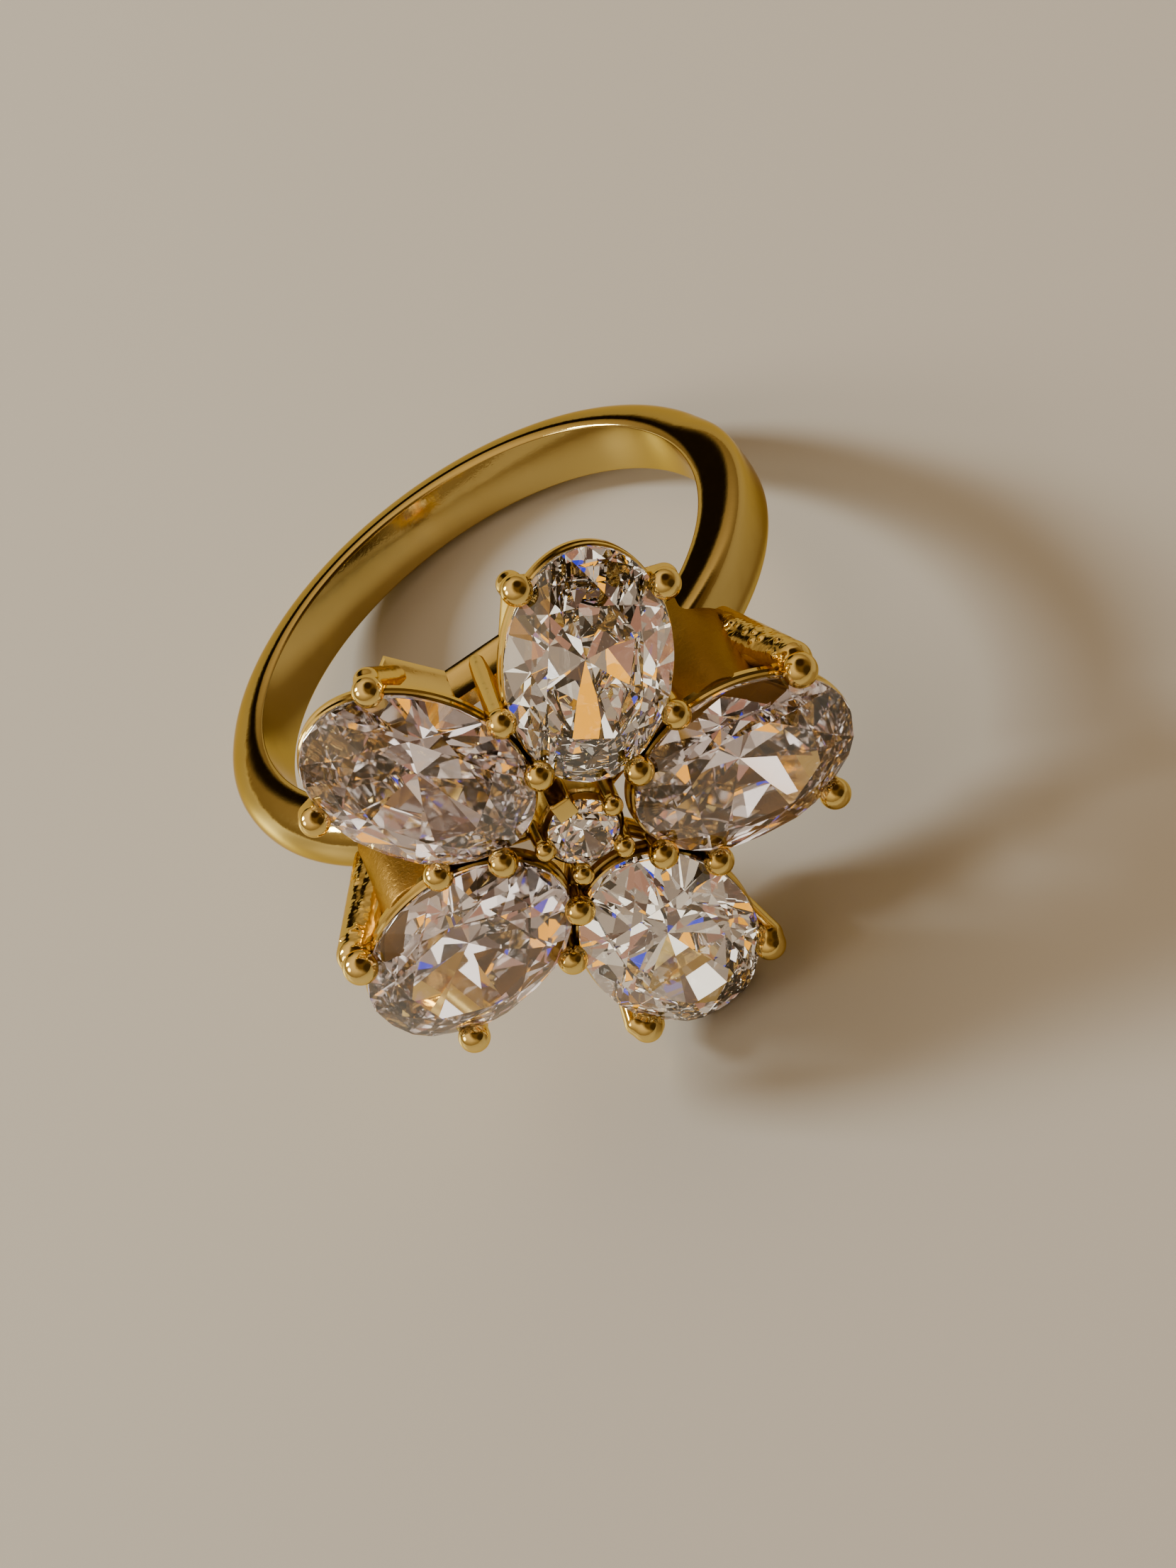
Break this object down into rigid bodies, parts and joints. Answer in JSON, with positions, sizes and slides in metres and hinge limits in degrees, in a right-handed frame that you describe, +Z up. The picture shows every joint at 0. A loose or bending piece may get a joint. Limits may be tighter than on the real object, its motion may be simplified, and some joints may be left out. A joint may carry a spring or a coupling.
{
  "type": "cluster ring",
  "caption": "Finger ring with a flower-shaped cluster of tilted oval stones round a small round stone, held by ball-ended claws on a plain band with flat-faced shoulders.",
  "frame": {"origin": "centre of the bounding box in plan, on the surface that the ring rests on", "axes": "+Z up, X across the band and the flower with the mirror plane at x = 0, and the flower facing -Y and a little up; the ring rests on the outer end of its lowest petal and on the back of its band"},
  "size_m": [0.0208, 0.0254, 0.0176],
  "materials": {
    "gold": "polished",
    "clear_stone": "faceted and polished",
    "lilac_stone": "faceted and polished"
  },
  "bodies": {
    "root": {"ring_mount": "gold", "petal_stone_1": "clear_stone", "petal_stone_2": "lilac_stone", "petal_stone_3": "clear_stone", "petal_stone_4": "lilac_stone", "petal_stone_5": "lilac_stone", "centre_stone": "clear_stone"}
  },
  "joints": []
}
